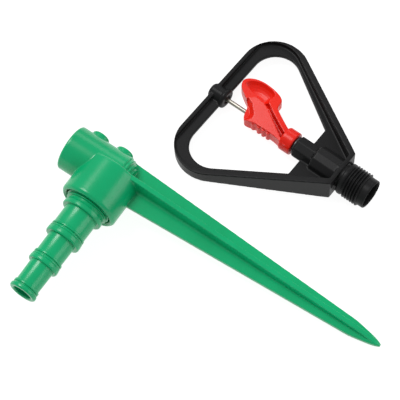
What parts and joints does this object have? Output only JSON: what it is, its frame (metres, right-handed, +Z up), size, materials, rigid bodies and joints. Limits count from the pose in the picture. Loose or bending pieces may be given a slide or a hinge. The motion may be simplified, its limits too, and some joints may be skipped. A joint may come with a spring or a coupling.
{
  "type": "garden sprinkler",
  "caption": "Garden sprinkler laid apart: a ground spike with a threaded tee and a stepped hose tail, beside a delta-framed head with a free-spinning curved rotor.",
  "frame": {"origin": "centre of the bounding box's base, on the table that both halves lie on", "axes": "+X along the spike from its top socket towards its point, +Y from the hose tail towards the sprinkler head, +Z up from the table"},
  "size_m": [0.2152, 0.2248, 0.0364],
  "materials": {
    "green_plastic": "moulded, soft sheen",
    "black_rubber": "matt",
    "black_plastic": "moulded, satin",
    "grey_plastic": "moulded, satin",
    "steel": "drawn wire",
    "dark_acetal": "plain",
    "red_plastic": "moulded, soft sheen"
  },
  "bodies": {
    "spike": {"spike_body": "green_plastic", "socket_gasket": "black_rubber"},
    "tail_seal": {"tail_gasket": "black_rubber"},
    "tail": {"hose_tail": "green_plastic"},
    "head": {"head_frame": "black_plastic", "nozzle": "grey_plastic", "rotor_pin": "steel", "thrust_washer": "dark_acetal"},
    "rotor": {"rotor": "red_plastic"}
  },
  "joints": [
    {"name": "head_lift", "type": "slide", "parent": "spike", "child": "head", "axis": [0, 0, 1], "range_m": [0, 0.06]},
    {"name": "tail_travel", "type": "slide", "parent": "spike", "child": "tail_seal", "axis": [0, -1, 0], "range_m": [0, 0.0121]},
    {"name": "tail_turn", "type": "hinge", "parent": "tail_seal", "child": "tail", "pos_m": [-0.07613, -0.0494, 0.0182], "axis": [0, -1, 0], "range_deg": [0, 2160]},
    {"name": "rotor_spin", "type": "hinge", "parent": "head", "child": "rotor", "pos_m": [-0.0141, 0.0572, 0.0081], "axis": [-0.9953, 0.0871, -0.0435], "continuous": true}
  ],
  "couplings": [
    {"joint": "tail_travel", "follows": "tail_turn", "m_per_rad": 0.00031831}
  ]
}
